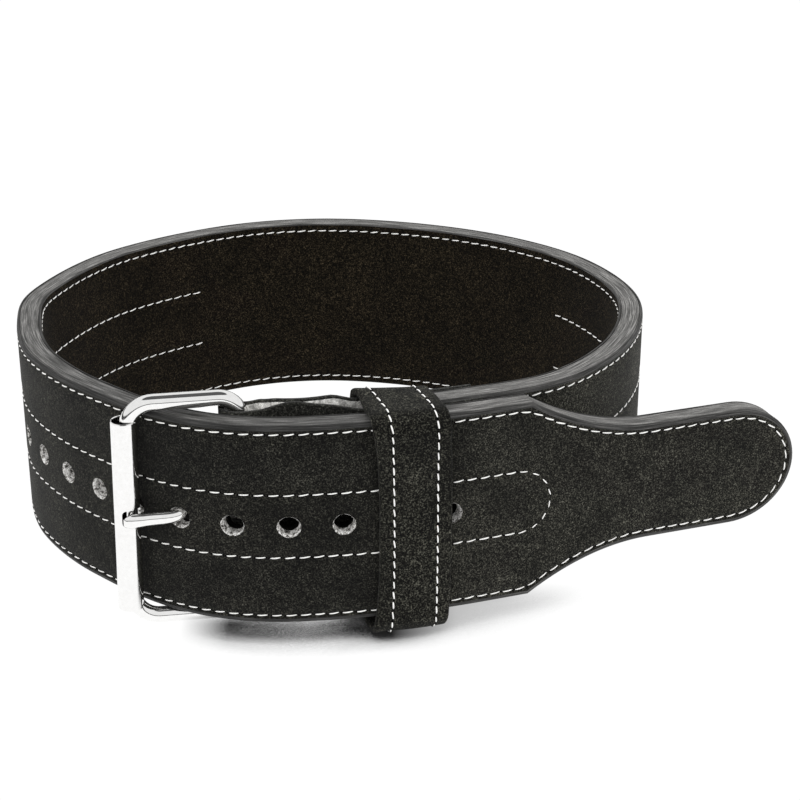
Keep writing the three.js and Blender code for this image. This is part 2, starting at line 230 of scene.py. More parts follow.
def objectPlace(tree):
    return tree.nodes.new("ShaderNodeTexCoord").outputs["Object"]


def alongStrap(tree, stops):  # a tone that follows the distance along the strap
    uv = tree.nodes.new("ShaderNodeUVMap")
    uv.uv_map = "strip"
    split = tree.nodes.new("ShaderNodeSeparateXYZ")
    tree.links.new(uv.outputs["UV"], split.inputs[0])
    share = tree.nodes.new("ShaderNodeMath")
    share.operation = "DIVIDE"
    share.inputs[1].default_value = toneAlongStrap["strapLength"]
    tree.links.new(split.outputs["X"], share.inputs[0])
    return rampOf(tree, share.outputs[0], greys(stops))


toneAlongStrap = {  # tones along the strap, from its buckle end to its tip; on the face this is painted shade, darkest over the front
    "strapLength": 12,  # in 100 mm, as its map is
    # on the face: painted shade, darker over the front where less light falls
    "face": [
        (0.0, 1.0), (0.3, 1.0), (0.55, 0.8), (0.63, 0.6),
        (0.7, 0.43), (0.79, 0.43), (0.84, 0.7), (1.0, 0.75),
    ],
    # on the cut edge: darker over the front part
    "edge": [(0.0, 0.75), (0.42, 0.7), (0.5, 0.72), (0.6, 0.62), (0.66, 0.45), (0.8, 0.42), (0.85, 0.75)],
}
nap = {  # what all the suedes share: noise as scale, detail and roughness
    "clouds": (38, 5, 0.62),
    "clumps": (470, 2, 0.6),
    "fibres": (4, 0.72),
    "lifts": (1.3, 1.35, 3.2),  # the named tones made lighter: middle, light and the fibres' tips
    "roughness": 0.95,
    "sheenRoughness": 0.55,
    "bump": (0.55, 0.0004),
}
cutEdge = {
    "lines": (5, 170, 1),  # stretched along the strap
    "tones": [(0.34, (0.03, 0.029, 0.027)), (0.5, (0.17, 0.167, 0.16)), (0.64, (0.5, 0.49, 0.475))],
    "roughness": 0.62,
    "bump": (0.5, 0.0003),
}


def suede(name, dark, mid, light, cloud, sheen, grain=1150, shadeAlong=None):
    material, tree, shader = newMaterial(name)
    place = objectPlace(tree)
    fibres = noiseOf(tree, place, grain, *nap["fibres"])
    middling, lighter, tips = nap["lifts"]
    tone = rampOf(tree, fibres, [
        (0.4, dark), (0.5, tuple(middling * v for v in mid)),
        (0.58, tuple(lighter * v for v in light)), (0.66, tuple(tips * v for v in light)),
    ])
    patch = noiseOf(tree, place, *nap["clouds"])
    shade = rampOf(tree, patch, greys([(0.34, cloud), (0.66, 1.0)]))
    tone = multiplied(tree, 1.0, tone, shade)
    clump = noiseOf(tree, place, *nap["clumps"])
    tone = multiplied(tree, 1.0, tone, rampOf(tree, clump, greys([(0.36, 0.42), (0.62, 1.0)])))
    # painted shade along the strap's face, darkest over its front
    if shadeAlong:
        tone = multiplied(tree, 1.0, tone, alongStrap(tree, shadeAlong))
    tree.links.new(tone, shader.inputs["Base Color"])
    shader.inputs["Roughness"].default_value = nap["roughness"]
    shader.inputs["Specular IOR Level"].default_value = 0.12
    shader.inputs["Sheen Weight"].default_value = sheen
    shader.inputs["Sheen Roughness"].default_value = nap["sheenRoughness"]
    bumped(tree, shader, fibres, *nap["bump"])
    return material


def edgeLeather(name, share):  # share: how light it is against the plain cut edge
    material, tree, shader = newMaterial(name)
    uv = tree.nodes.new("ShaderNodeUVMap")
    uv.uv_map = "strip"
    stretch = tree.nodes.new("ShaderNodeMapping")
    stretch.inputs["Scale"].default_value = cutEdge["lines"]
    tree.links.new(uv.outputs["UV"], stretch.inputs["Vector"])
    lines = noiseOf(tree, stretch.outputs["Vector"], 1.0, 4, 0.65)
    tone = rampOf(tree, lines, [(where, tuple(v * share for v in colour)) for where, colour in cutEdge["tones"]])
    tone = multiplied(tree, 1.0, tone, alongStrap(tree, toneAlongStrap["edge"]))
    grit = noiseOf(tree, objectPlace(tree), 1500, 3, 0.7)
    speck = rampOf(tree, grit, greys([(0.35, 0.6), (0.62, 1.0)]))
    tree.links.new(multiplied(tree, 0.8, tone, speck), shader.inputs["Base Color"])
    shader.inputs["Roughness"].default_value = cutEdge["roughness"]
    shader.inputs["Specular IOR Level"].default_value = 0.35
    bumped(tree, shader, lines, *cutEdge["bump"])
    return material


def rawWall():
    material, tree, shader = newMaterial("rawHoleWall")
    grit = noiseOf(tree, objectPlace(tree), 620, 5, 0.8)
    tone = rampOf(tree, grit, [(0.42, (0.02, 0.018, 0.015)), (0.47, (0.3, 0.29, 0.27)), (0.56, (0.98, 0.97, 0.95))])
    tree.links.new(tone, shader.inputs["Base Color"])
    shader.inputs["Roughness"].default_value = 0.9
    bumped(tree, shader, grit, 0.8, 0.0004)
    return material


# near black: painted shade for the deep half of each hole, where light hardly reaches
def deepWallShade():
    material, tree, shader = newMaterial("deepHoleShade")
    grit = noiseOf(tree, objectPlace(tree), 1100, 3, 0.6)
    tone = rampOf(tree, grit, [(0.4, (0.004,) * 3), (0.7, (0.02, 0.019, 0.017))])
    tree.links.new(tone, shader.inputs["Base Color"])
    shader.inputs["Roughness"].default_value = 0.95
    shader.inputs["Specular IOR Level"].default_value = 0.1
    return material


def nickel():
    material, tree, shader = newMaterial("polishedNickel")
    rubbed = noiseOf(tree, objectPlace(tree), 420, 4, 0.7)
    tone = rampOf(tree, rubbed, [(0.3, (0.9, 0.895, 0.885)), (0.7, (0.97, 0.968, 0.96))])
    tree.links.new(tone, shader.inputs["Base Color"])
    gloss = rampOf(tree, rubbed, greys([(0.35, 0.06), (0.75, 0.12)]))
    tree.links.new(gloss, shader.inputs["Roughness"])
    shader.inputs["Metallic"].default_value = 1.0
    bumped(tree, shader, rubbed, 0.02, 0.0001)
    return material


def thread():
    material, tree, shader = newMaterial("whiteThread")
    ply = noiseOf(tree, objectPlace(tree), 1800, 3, 0.6)
    tone = rampOf(tree, ply, [(0.3, (0.8, 0.79, 0.76)), (0.62, (1.0, 0.99, 0.97))])
    tree.links.new(tone, shader.inputs["Base Color"])
    shader.inputs["Roughness"].default_value = 0.75
    bumped(tree, shader, ply, 0.4, 0.0002)
    return material


# near black: painted shade for the needle holes at each stitch's ends
def pitShade():
    material, tree, shader = newMaterial("stitchPitShade")
    grit = noiseOf(tree, objectPlace(tree), 1600, 3, 0.6)
    tone = rampOf(tree, grit, greys([(0.35, 0.0015), (0.65, 0.006)]))
    tree.links.new(tone, shader.inputs["Base Color"])
    shader.inputs["Roughness"].default_value = 1.0
    shader.inputs["Specular IOR Level"].default_value = 0.0
    return material


makeCamera()
makeFloor()
makeLight()
print("camera, floor and light set")

# dark, middle and light tone, the clouds' darkness, sheen, grain and the painted shade along it
outerSuede = suede(
    "outerSuede", (0.003, 0.0029, 0.002), (0.0155, 0.015, 0.0115), (0.084, 0.082, 0.066),
    0.42, 0.06, 1400, toneAlongStrap["face"],
)
innerSuede = suede("innerSuede", (0.002, 0.0014, 0.0007), (0.007, 0.005, 0.0025), (0.026, 0.02, 0.012), 0.55, 0.01)
keeperSuede = suede(
    "keeperSuede", (0.001, 0.001, 0.0007), (0.006, 0.0058, 0.0042), (0.056, 0.055, 0.044), 0.4, 0.04, 1200,
)
chapeSuede = suede("chapeSuede", (0.004, 0.004, 0.003), (0.012, 0.012, 0.01), (0.04, 0.04, 0.034), 0.6, 0.1)
# the raw flesh side: pale, with its tones lifted past white as painted light
rawSuedePaintedLight = suede("rawSuedePaintedLight", (0.5, 0.49, 0.46), (0.9, 0.89, 0.86), (0.44, 0.435, 0.42), 0.85, 0.1)
leatherEdge = edgeLeather("edgeLeather", 1.0)
burnishedEdge = edgeLeather("burnishedEdge", 0.3)
holeWall = rawWall()
holeDeepShade = deepWallShade()
bright = nickel()
whiteThread = thread()
pitShadeFinish = pitShade()
print("finishes made")


def gridPlaces(bm, columns, rows):
    for vert in bm.verts:
        yield vert, round((vert.co.x + 0.5) * columns), round((vert.co.y + 0.5) * rows)


def rolledSheet(places, lengths=None, girths=None):
    # a grid whose rows run round the section; places is an array of columns x rows x 3
    columns, rows = places.shape[0] - 1, places.shape[1] - 1
    bm = bmesh.new()
    bmesh.ops.create_grid(bm, x_segments=columns, y_segments=rows, size=0.5)
    spots = {vert: (i, j) for vert, i, j in gridPlaces(bm, columns, rows)}
    if lengths is not None:
        strip = bm.loops.layers.uv.new("strip")
        for face in bm.faces:
            for loop in face.loops:
                i, j = spots[loop.vert]
                loop[strip].uv = (lengths[i] / 100, girths[j] / 100)
    for vert, (i, j) in spots.items():
        vert.co = places[i, j]
    return bm


def closeUp(bm, near=0.004):
    bmesh.ops.remove_doubles(bm, verts=bm.verts[:], dist=near)
    bmesh.ops.dissolve_degenerate(bm, edges=bm.edges[:], dist=near / 4)
    openEdges = [edge for edge in bm.edges if edge.is_boundary]
    if openEdges:
        bmesh.ops.holes_fill(bm, edges=openEdges, sides=0)
    bmesh.ops.recalc_face_normals(bm, faces=bm.faces[:])


def vertsOf(geom):
    return [item for item in geom if isinstance(item, bmesh.types.BMVert)]


def turned(profile, steps):  # a profile of radius and height, spun round the Z axis
    bm = bmesh.new()
    verts = [bm.verts.new((x, 0, z)) for x, z in profile]
    edges = [bm.edges.new(pair) for pair in zip(verts, verts[1:])]
    bmesh.ops.spin(
        bm, geom=verts + edges, cent=(0, 0, 0), axis=(0, 0, 1), angle=2 * math.pi, steps=steps, use_merge=True)
    return bm


def cutWith(bm, cutter):  # both in the same mm frame; the cut faces keep the cutter's material index
    parts = []
    for name, source in (("whole", bm), ("cutter", cutter)):
        mesh = bpy.data.meshes.new(name)
        source.to_mesh(mesh)
        source.free()
        for _ in range(4):
            mesh.materials.append(None)
        part = bpy.data.objects.new(name, mesh)
        bpy.context.scene.collection.objects.link(part)
        parts.append(part)
    whole, tool = parts
    cutting = whole.modifiers.new("cut", "BOOLEAN")
    cutting.operation = "DIFFERENCE"
    cutting.solver = "EXACT"
    cutting.object = tool
    graph = bpy.context.evaluated_depsgraph_get()
    done = bmesh.new()
    done.from_mesh(whole.evaluated_get(graph).to_mesh())
    for part in parts:
        mesh = part.data
        bpy.data.objects.remove(part)
        bpy.data.meshes.remove(mesh)
    return done


def newPiece(bm, name, materials, nodes=(), sharp=40):
    where = stand([vert.co[:] for vert in bm.verts])
    where[:, 2] = np.maximum(where[:, 2], 0)  # nothing goes below the floor
    for vert, place in zip(bm.verts, where):
        vert.co = place
    for face in bm.faces:
        face.smooth = True
    for edge in bm.edges:
        if len(edge.link_faces) == 2 and edge.calc_face_angle(0) > math.radians(sharp):
            edge.smooth = False
    mesh = bpy.data.meshes.new(name)
    bm.to_mesh(mesh)
    bm.free()
    for material in materials:
        mesh.materials.append(material)
    piece = bpy.data.objects.new(name, mesh)
    bpy.context.scene.collection.objects.link(piece)
    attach(piece, "root")
    if nodes:
        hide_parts(*nodes)
    print(name, len(mesh.polygons), "faces")


def eased(u):
    return u * u * (3 - 2 * u)


def arcPoints(middlePoint, radius, start, end, steps):
    turns = np.linspace(start, end, steps + 1)
    return [(middlePoint[0] + radius * math.cos(t), middlePoint[1] + radius * math.sin(t)) for t in turns]


# the strap's sizes in mm, and the line that it follows
strap = {
    "width": 103.0,
    "thickness": 13.0,
    "skin": 1.6,
    "seam": 0.3,  # between the skins and the core, at the cut edge
    "rounding": 1.4,
    "roundingWide": 2.3,  # the outer skin's, across the face
    "loopWidth": 322.0,
    "loopDepth": 283.5,
    "stations": [
        (0.063, -0.973), (0.445, -0.862), (0.725, -0.706), (0.93, -0.37),
        (0.998, 0.059), (0.872, 0.465), (0.615, 0.758), (0.265, 0.943),
        (-0.108, 0.998), (-0.46, 0.88), (-0.803, 0.567), (-0.981, 0.153),
        (-0.985, -0.148), (-0.889, -0.504), (-0.652, -0.828), (-0.343, -0.989),
    ],
    "climbFrom": 0.862,
    "climbTo": 0.976,
    "tongueLeaves": 1.067,
    "rise": 16.6,
    "buckleEnd": 18.0,
    "holeInUse": 864.37,
    "holePitch": 25.4,
    "holesBefore": 6,
    "holesAfter": 5,
    "holeRadius": 4.85,
    "holeWorn": 0.035,  # share of the radius
    "lastHoleToTip": 184.7,
    "tongueHalf": 31.0,
    "tongueLength": 144.0,
    "shoulder": 64.0,
    "tipRound": 34.0,
    "columns": (346, 25, 14, 19),  # along its straight part, shoulder, tongue and tip
}
middle = strap["width"] / 2
strapLength = strap["holeInUse"] + strap["holesAfter"] * strap["holePitch"] + strap["lastHoleToTip"]


def runningLength(points):
    return np.concatenate([[0], np.cumsum(np.linalg.norm(np.diff(points, axis=0), axis=1))])


def smoothLoop(points, perSpan=150):
    p = np.array(points, float)
    t = np.linspace(0, 1, perSpan, endpoint=False)[:, None]
    spans = []
    for i in range(len(p)):
        a, b, c, d = p[i - 1], p[i], p[(i + 1) % len(p)], p[(i + 2) % len(p)]
        spans.append(
            (2 * t**3 - 3 * t**2 + 1) * b + (t**3 - 2 * t**2 + t) * (c - a) / 2
            + (3 * t**2 - 2 * t**3) * c + (t**3 - t**2) * (d - b) / 2
        )
    return np.concatenate(spans + [spans[0][:1]])


waist = smoothLoop([(x * strap["loopWidth"] / 2, y * strap["loopDepth"] / 2) for x, y in strap["stations"]])
waistAt = runningLength(waist)
waistLength = waistAt[-1]


def onWaist(distance):
    d = np.mod(distance, waistLength)
    return np.stack([np.interp(d, waistAt, waist[:, 0]), np.interp(d, waistAt, waist[:, 1])], -1)


def besideWaist(distance, outside):
    distance = np.asarray(distance, float)
    along = onWaist(distance + 0.4) - onWaist(distance - 0.4)
    along /= np.linalg.norm(along, axis=-1, keepdims=True)
    outward = np.stack([along[..., 1], -along[..., 0]], -1)
    return onWaist(distance) + outward * np.asarray(outside, float)[..., None]


def riseAt(distance):
    u = np.clip((distance / waistLength - strap["climbFrom"]) / (strap["climbTo"] - strap["climbFrom"]), 0, 1)
    return strap["rise"] * u * u * (3 - 2 * u)


leaves = strap["tongueLeaves"] * waistLength
stops = np.arange(strap["buckleEnd"], leaves, 0.5)
runLine = besideWaist(stops, riseAt(stops))
lastWay = runLine[-1] - runLine[-3]
lastWay /= np.linalg.norm(lastWay)
runLine = np.concatenate([runLine, runLine[-1] + np.arange(0.5, 300, 0.5)[:, None] * lastWay])
runAt = runningLength(runLine)


def onRun(distance):
    return np.stack([np.interp(distance, runAt, runLine[:, 0]), np.interp(distance, runAt, runLine[:, 1])], -1)


def strapSpot(s):  # middle point, way along and way out at a distance along the strap
    s = np.asarray(s, float)
    along = onRun(s + 1.5) - onRun(s - 1.5)
    along /= np.linalg.norm(along, axis=-1, keepdims=True)
    return onRun(s), along, np.stack([along[..., 1], -along[..., 0]], -1)


def onStrap(flat):  # (along the strap, up from its middle, outwards) to the belt's own frame
    flat = np.asarray(flat, float)
    centre, along, outward = strapSpot(flat[..., 0])
    plan = centre + outward * flat[..., 2:3]
    return np.concatenate([plan, middle + flat[..., 1:2]], -1)


def outlineColumns():
    # distance, half width and the edge's outward direction, closer together where it curves
    corner = strapLength - strap["tongueLength"]
    shoulderEnd = corner + strap["shoulder"]
    roundStart = strapLength - strap["tipRound"]
    drop = middle - strap["tongueHalf"]
    straight, shoulder, tongue, tip = strap["columns"]
    rows = [(s, middle, 0.0, 1.0) for s in np.linspace(0, corner - 1.5, straight)]
    for s in np.linspace(corner, shoulderEnd, shoulder):
        u = 1 - (s - corner) / strap["shoulder"]
        slope = -2 * drop * u / strap["shoulder"] * (0.5 if u == 1 else 1)
        size = math.hypot(slope, 1)
        rows.append((s, strap["tongueHalf"] + drop * u * u, -slope / size, 1 / size))
    rows += [(s, strap["tongueHalf"], 0.0, 1.0) for s in np.linspace(shoulderEnd, roundStart, tongue)[1:]]
    for turn in np.linspace(0, math.pi / 2, tip)[1:]:
        ns, nh = math.sin(turn) / strap["tipRound"], math.cos(turn) / strap["tongueHalf"]
        size = math.hypot(ns, nh)
        rows.append((
            roundStart + strap["tipRound"] * math.sin(turn), strap["tongueHalf"] * math.cos(turn),
            ns / size, nh / size,
        ))
    return np.array(rows)


outline = outlineColumns()


def insetRow(inset):  # the outline moved inwards: distance and half width of each column
    s = outline[:, 0] - outline[:, 2] * inset
    return s, np.maximum(outline[:, 1] - outline[:, 3] * inset, 0)


def layerSheet(rim, outerFace, innerFace, burnished=()):
    # rim: (inset, depth) from the outer face round the edge to the inner one
    # faces: (share of the way across, depth at each column) between the two rims
    # burnished: the rim's rows that get the second material, at both edges
    columnsCount = len(outline)
    rows = []
    first, last = rim[0], rim[-1]
    sFirst, hFirst = insetRow(first[0])
    sLast, hLast = insetRow(last[0])
    for inset, depth in rim:  # lower edge
        s, h = insetRow(inset)
        rows.append(np.stack([s, -h, np.full(columnsCount, depth)], -1))
    for share, depth in innerFace:
        rows.append(np.stack([sLast, -hLast + 2 * hLast * share, depth], -1))
    for inset, depth in reversed(rim):  # upper edge
        s, h = insetRow(inset)
        rows.append(np.stack([s, h, np.full(columnsCount, depth)], -1))
    for share, depth in outerFace:
        rows.append(np.stack([sFirst, hFirst - 2 * hFirst * share, depth], -1))
    rows.append(rows[0])
    places = np.stack(rows, 1)
    girths = runningLength(places[10])
    bm = rolledSheet(places, outline[:, 0], girths)
    closeUp(bm)
    strip = bm.loops.layers.uv["strip"]
    upper = len(rim) + len(innerFace)
    rubbed = set(burnished) | {upper + len(rim) - 2 - k for k in burnished}
    for face in bm.faces:
        across = sum(loop[strip].uv.y for loop in face.loops) / len(face.loops) * 100
        if int(np.searchsorted(girths, across)) - 1 in rubbed:
            face.material_index = 1
    return bm


def holePunches():
    # a punch whose mouths are wider than its middle, turned round and set at each hole
    r, deep = strap["holeRadius"], strap["thickness"] / 2
    bm = turned([
        (0, -deep - 1), (r + 1.6, -deep - 1), (r + 1.05, -deep), (r + 0.65, -deep + 1.5), (r + 0.15, -deep + 4),
        (r, -0.25), (r + 0.25, 0), (r, 0.25),
        (r, deep - 1.7), (r + 0.2, deep - 0.7), (r + 0.6, deep), (r + 1.2, deep + 1), (0, deep + 1),
    ], 36)
    bmesh.ops.remove_doubles(bm, verts=bm.verts[:], dist=0.001)
    bmesh.ops.recalc_face_normals(bm, faces=bm.faces[:])
    for face in bm.faces:  # pale in the outer half; deep inside, painted shade darkens the wall
        face.material_index = 3 if face.calc_center_median().z > 0 else 2
    first = bm.verts[:] + bm.edges[:] + bm.faces[:]
    for k in range(-strap["holesBefore"], strap["holesAfter"] + 1):
        verts = vertsOf(bmesh.ops.duplicate(bm, geom=first)["geom"])
        for vert in verts:  # leather never cuts quite round
            worn = noise.noise(Vector((vert.co.x * 0.35, vert.co.y * 0.35, vert.co.z * 0.3 + 7.3 * k)))
            vert.co.x *= 1 + strap["holeWorn"] * worn
            vert.co.y *= 1 + strap["holeWorn"] * worn
        at = Vector((strap["holeInUse"] + k * strap["holePitch"], 0, 0))
        bmesh.ops.translate(bm, vec=at, verts=verts)
    bmesh.ops.delete(bm, geom=vertsOf(first), context="VERTS")
    return bm


def bendToBelt(bm):
    flat = np.array([vert.co[:] for vert in bm.verts])
    for vert, place in zip(bm.verts, onStrap(flat)):
        vert.co = place
    bmesh.ops.recalc_face_normals(bm, faces=bm.faces[:])


stitching = {
    "inset": 4.1,
    "midRow": 16.35,
    "pitch": 6.6,
    "long": 5.45,
    "thick": 0.74,
    "slant": (3, 9),  # degrees
    "bow": 0.42,
    "flat": 0.8,
    "blunt": 3.2,
    "pitOut": 0.1,  # past the thread's end
    "pitLong": 1.15,
    "pitHigh": 0.16,
    "press": 0.4,  # how far a row pulls the suede in
    "channel": (5.6, 4.7, 4.1, 3.5, 2.6),  # insets of the outer row's channel
    "channelHalf": 0.8,
    "edgeFrom": 5,  # where the rows start, from the buckle end
    "middleFrom": 8,
    "smoothing": 13,  # mm along which the outer row rounds its corners
    "holeRoom": 6.5,
    "loopApex": 134.0,  # the middle rows turn back here, from the tip
    "apexRoom": 16,
    "loopBack": 642.5,
    "buckleRows": 293.0,
}
halfShares = [0.07, 0.16, 0.25, 0.322, 0.345, 0.368, 0.43, 0.5]
faceShares = halfShares + [1 - share for share in reversed(halfShares[:-1])]


def faceRows(depth, sign):
    # the two middle rows of stitches press a shallow channel into the face
    s = outline[:, 0]
    back = strapLength - stitching["loopBack"]
    apex = strapLength - stitching["loopApex"] - stitching["apexRoom"]
    tongueSide = (s > back) & (s < apex)
    sewn = tongueSide | (s < stitching["buckleRows"])
    rows = []
    for share in faceShares:
        offset = abs(abs(share - 0.5) * 2 * (middle - stitching["channel"][0]) - stitching["midRow"])
        press = stitching["press"] if offset < stitching["channelHalf"] else 0.0
        rows.append((share, depth - sign * press * sewn))
    return rows


def edgePress(depth, sign):  # the outer stitch row's channel, from the face out to the rim
    steps = zip(stitching["channel"], (0.0, 0.6, 1.0, 0.6, 0.0))
    return [(inset, depth - sign * share * stitching["press"]) for inset, share in steps]


def finishLayer(bm, name, face, edge, nodes):
    bm = cutWith(bm, holePunches())
    bendToBelt(bm)
    newPiece(bm, name, [face, edge, holeDeepShade, holeWall], nodes)


def makeOuterSkin():
    top, low = strap["thickness"] / 2, strap["thickness"] / 2 - strap["skin"]
    r, wide = strap["rounding"], strap["roundingWide"]
    rim = edgePress(top, 1)
    rim += [(wide - wide * math.sin(t), top - r + r * math.cos(t)) for t in np.linspace(0, math.pi / 2, 6)]
    rim += [(0.15, low + 0.05), (0.4, low)]
    below = [(0.5, np.full(len(outline), low))]
    bm = layerSheet(rim, faceRows(top, 1), below, range(len(stitching["channel"]), len(rim) - 1))
    finishLayer(bm, "outerSkin", outerSuede, burnishedEdge, ["outer_suede"])


def makeInnerSkin():
    low, top = -strap["thickness"] / 2, -strap["thickness"] / 2 + strap["skin"]
    r = strap["rounding"]
    rim = [(0.4, top), (0.15, top - 0.05)]
    rim += [(r - r * math.cos(t), low + r - r * math.sin(t)) for t in np.linspace(0, math.pi / 2, 6)]
    rim += list(reversed(edgePress(low, -1)))
    above = [(0.5, np.full(len(outline), top))]
    bm = layerSheet(rim, above, faceRows(low, -1), range(5))
    finishLayer(bm, "innerSkin", innerSuede, burnishedEdge, ["inner_suede"])


def makeCore():
    # the two thick layers, glued: their cut edge has fine ridges and a shallow line between them
    edge = strap["thickness"] / 2 - strap["skin"] - strap["seam"] / 2
    random.seed(5)
    depths = np.linspace(edge, -edge, 19)
    rim = [(0.9, edge)]
    for k, depth in enumerate(depths):
        corner = 0.35 if k in (0, 18) else 0.0
        rim.append((0.12 + corner + random.uniform(-0.06, 0.1) + (0.16 if k == 9 else 0), depth))
    rim.append((0.9, -edge))
    outerFace, innerFace = [[(0.5, np.full(len(outline), depth))] for depth in (edge, -edge)]
    bm = layerSheet(rim, outerFace, innerFace)
    finishLayer(bm, "strapCore", leatherEdge, leatherEdge, ["core_inner", "core_outer"])


makeOuterSkin()
makeInnerSkin()
makeCore()
print("strap made")

buckle = {  # mm; the rod is bent round the heel and front bars, which the first two place
    "heel": (-37.664, -142.354),
    "roller": (-92.704, -148.662),
    "rod": 4.0,
    "height": 112.6,
    "corner": 10.5,
    "frontCorner": 12.5,
    "heelRaised": 1.2,
    "fitGap": 0.3,
    "rollerRadius": 6.25,
    "rollerWall": 0.8,
    "rollerLength": 99.0,
    "rollerSag": 1.2,
    "rollerTilt": 1.1,  # degrees, bottom to the left
    "notch": 8.8,
    "notchUp": -0.6,
    "notchIn": 4.0,
    "prong": 2.8,
    "prongTip": 3.7,
    "prongRise": 2.2,
    "prongDrop": 1.8,
    "prongPast": 1.6,
    "tipFlat": 0.35,  # its end is made thinner by this share
    "tipFrom": (0.72, 0.28),  # from here on, and over this length
    "ends": (0.45, 0.75, 0.92),
    "eyeThick": 2.7,
    "eyeTurn": 4.3,
}
heel = np.array(buckle["heel"])
rollerAt = np.array(buckle["roller"])
toRoller = (rollerAt - heel) / np.linalg.norm(rollerAt - heel)
frontward = np.array([-toRoller[1], toRoller[0]])  # towards the front, away from the strap
frontBar = rollerAt - (buckle["rollerRadius"] - buckle["rollerWall"] - buckle["rod"]) * toRoller


def tube(centres, across, up, halfAcross, halfUp, around):
    turns = np.linspace(0, 2 * math.pi, around + 1)
    c, s = np.cos(turns)[None, :, None], np.sin(turns)[None, :, None]
    sideways = across[:, None, :] * c * halfAcross[:, None, None]
    upwards = up[:, None, :] * s * halfUp[:, None, None]
    bm = rolledSheet(centres[:, None, :] + sideways + upwards)
    closeUp(bm)
    return bm


def makeRod():
    reach = np.linalg.norm(frontBar - heel)
    half, r, f = buckle["height"] / 2, buckle["corner"], buckle["frontCorner"]
    path = []
    for middlePoint, radius, start in (
        ((r, half - r), r, math.pi), ((reach - f, half - f), f, math.pi / 2),
        ((reach - f, f - half), f, 0), ((r, r - half), r, -math.pi / 2),
    ):
        end = start - math.pi / 2
        path += zip(arcPoints(middlePoint, radius, start, end, 12), np.linspace(start, end, 13))
    path.append(path[0])
    points = np.array([p for p, t in path])
    onward = points[:, 0] / reach  # the front bar leans with the roller, the heel side sits higher
    tilt = math.tan(math.radians(buckle["rollerTilt"]))
    points = points + np.stack([-onward * tilt * points[:, 1], buckle["heelRaised"] * (1 - onward)], -1)
    out = np.array([(math.cos(t), math.sin(t)) for p, t in path])
    plan = heel + points[:, :1] * toRoller
    centres = np.concatenate([plan, middle + points[:, 1:2]], 1)
    up = np.concatenate([out[:, :1] * toRoller, out[:, 1:2]], 1)
    across = np.tile(np.array([*frontward, 0.0]), (len(path), 1))
    full = np.full(len(path), buckle["rod"])
    bm = tube(centres, across, up, full, full, 28)
    newPiece(bm, "buckleRod", [bright], ["buckle_frame"])


def makeRoller():
    r, wall, long = buckle["rollerRadius"], buckle["rollerWall"], buckle["rollerLength"] / 2
    bm = turned([
        (r - wall, -long + 0.3), (r - wall + 0.25, -long), (r - 0.35, -long), (r, -long + 0.35), (r, long - 0.35),
        (r - 0.35, long), (r - wall + 0.25, long), (r - wall, long - 0.3), (r - wall, -long + 0.3),
    ], 48)
    closeUp(bm)
    cutter = bmesh.new()
    bmesh.ops.create_cube(cutter, size=1)
    bmesh.ops.scale(cutter, vec=(2 * r, 2 * r, buckle["notch"]), verts=cutter.verts[:])
    bmesh.ops.bevel(
        cutter, geom=cutter.edges[:], offset=2.4, affect="EDGES", segments=5, profile=0.5, material=-1)
    turn = Matrix.Rotation(math.atan2(toRoller[1], toRoller[0]), 4, "Z")
    shift = Vector((*(frontward * r - toRoller * buckle["notchIn"]), buckle["rollerSag"] + buckle["notchUp"]))
    bmesh.ops.transform(cutter, matrix=Matrix.Translation(shift) @ turn, verts=cutter.verts[:])
    bm = cutWith(bm, cutter)
    for face in bm.faces:
        face.material_index = 0
    tilt = Matrix.Rotation(math.radians(-buckle["rollerTilt"]), 4, Vector((*frontward, 0)))
    place = Matrix.Translation(Vector((*rollerAt, middle - buckle["rollerSag"]))) @ tilt
    bmesh.ops.transform(bm, matrix=place, verts=bm.verts[:])
    newPiece(bm, "rollerTube", [bright], ["roller"], sharp=35)


def threadLine(points, perSpan=10):
    # a smooth line through points, spaced by the root of their distances
    p = np.array(points, float)
    p = np.concatenate([[2 * p[0] - p[1]], p, [2 * p[-1] - p[-2]]])
    line = []
    for i in range(1, len(p) - 2):
        gaps = [math.sqrt(np.linalg.norm(p[k + 1] - p[k])) for k in (i - 1, i, i + 1)]
        a, b, c, d = p[i - 1], p[i], p[i + 1], p[i + 2]
        m0 = ((b - a) / gaps[0] - (c - a) / (gaps[0] + gaps[1]) + (c - b) / gaps[1]) * gaps[1]
        m1 = ((c - b) / gaps[1] - (d - b) / (gaps[1] + gaps[2]) + (d - c) / gaps[2]) * gaps[1]
        t = np.linspace(0, 1, perSpan, endpoint=False)[:, None]
        line.append(
            (2 * t**3 - 3 * t**2 + 1) * b + (t**3 - 2 * t**2 + t) * m0
            + (3 * t**2 - 2 * t**3) * c + (t**3 - t**2) * m1
        )
    return np.concatenate(line + [p[-2:-1]])


def waysOf(line):
    along = np.gradient(line, axis=0)
    along /= np.linalg.norm(along, axis=1, keepdims=True)
    return along, np.stack([along[:, 1], -along[:, 0]], -1)


def prongPoints():
    centre, along, out = strapSpot(strap["holeInUse"])
    eyeRadius = buckle["rod"] + buckle["fitGap"] + buckle["eyeThick"] / 2
    ends = math.atan2(-frontward[1], -frontward[0])
    turns = np.linspace(ends - buckle["eyeTurn"], ends, 15)
    eye = [heel + eyeRadius * np.array([math.cos(t), math.sin(t)]) for t in turns]
    mouth, r = strap["thickness"] / 2, buckle["prong"]
    tip = rollerAt + frontward * (buckle["rod"] + 0.25 + r) + buckle["prongPast"] * toRoller
    shaft = [
        eye[-1] + 4 * r * toRoller,
        centre - (mouth + 1) * out + r * along,
        centre,
        centre + mouth * out - r / 2 * along,
        tip - (buckle["rollerRadius"] + r + buckle["prongPast"]) * toRoller,
        tip,
    ]
    return eye, shaft


